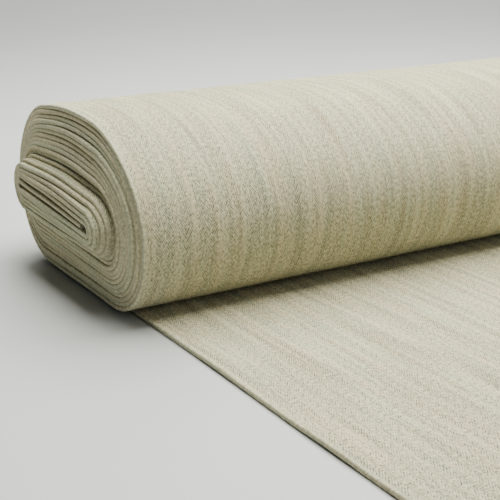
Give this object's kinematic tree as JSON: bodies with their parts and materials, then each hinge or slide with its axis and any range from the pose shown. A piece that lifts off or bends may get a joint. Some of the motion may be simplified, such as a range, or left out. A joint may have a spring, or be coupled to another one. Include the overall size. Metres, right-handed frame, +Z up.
{
  "type": "fabric bolt",
  "caption": "Bolt of doubled wool cloth wound flat on a grey board, with its outer end laid out as a sheet; the roll turns over to unwind, and the core and board slide out endways.",
  "frame": {"origin": "on the table, under the middle of the roll and halfway along the laid sheet's width", "axes": "+X along the roll, from the folded end to the selvedge end; -Y the way the sheet lies out; +Z up"},
  "size_m": [0.7543, 0.6919, 0.1531],
  "materials": {
    "turn_01": "brushed wool herringbone",
    "turn_02": "brushed wool herringbone",
    "turn_03": "brushed wool herringbone",
    "turn_04": "brushed wool herringbone",
    "turn_05": "brushed wool herringbone",
    "turn_06": "brushed wool herringbone",
    "turn_07": "brushed wool herringbone",
    "turn_08": "brushed wool herringbone",
    "turn_09": "brushed wool herringbone",
    "turn_10": "brushed wool herringbone",
    "turn_11": "brushed wool herringbone",
    "turn_12": "brushed wool herringbone",
    "turn_13": "brushed wool herringbone",
    "turn_14": "brushed wool herringbone",
    "turn_15": "brushed wool herringbone",
    "turn_16": "brushed wool herringbone",
    "turn_17": "brushed wool herringbone",
    "turn_18": "brushed wool herringbone",
    "rear_bend": "brushed wool herringbone",
    "sheet_under_roll": "brushed wool herringbone",
    "laid_sheet": "brushed wool herringbone",
    "bolt_board": "raw greyboard"
  },
  "bodies": {
    "laid_cloth": {"laid_sheet": "laid_sheet", "sheet_under_roll": "sheet_under_roll"},
    "peel": {"rear_bend": "rear_bend"},
    "roll": {"turn_07": "turn_07", "turn_08": "turn_08", "turn_09": "turn_09", "turn_10": "turn_10", "turn_11": "turn_11", "turn_12": "turn_12", "turn_13": "turn_13", "turn_14": "turn_14", "turn_15": "turn_15", "turn_16": "turn_16", "turn_17": "turn_17", "turn_18": "turn_18"},
    "core": {"turn_01": "turn_01", "turn_02": "turn_02", "turn_03": "turn_03", "turn_04": "turn_04", "turn_05": "turn_05", "turn_06": "turn_06"},
    "board": {"bolt_board": "bolt_board"}
  },
  "joints": [
    {"name": "roll_travel", "type": "slide", "parent": "laid_cloth", "child": "peel", "axis": [0, 1, 0], "range_m": [0, 0.184]},
    {"name": "roll_turn", "type": "hinge", "parent": "peel", "child": "roll", "pos_m": [0, 0.062, 0.07], "axis": [-1, 0, 0], "range_deg": [0, 150], "deforming": ["rear_bend"]},
    {"name": "core_slide", "type": "slide", "parent": "roll", "child": "core", "axis": [-1, 0, 0], "range_m": [-0.02, 0.03]},
    {"name": "board_slide", "type": "slide", "parent": "core", "child": "board", "axis": [-1, 0, 0], "range_m": [-0.7, 0.7]}
  ],
  "couplings": [
    {"joint": "roll_travel", "follows": "roll_turn", "m_per_rad": 0.07}
  ]
}
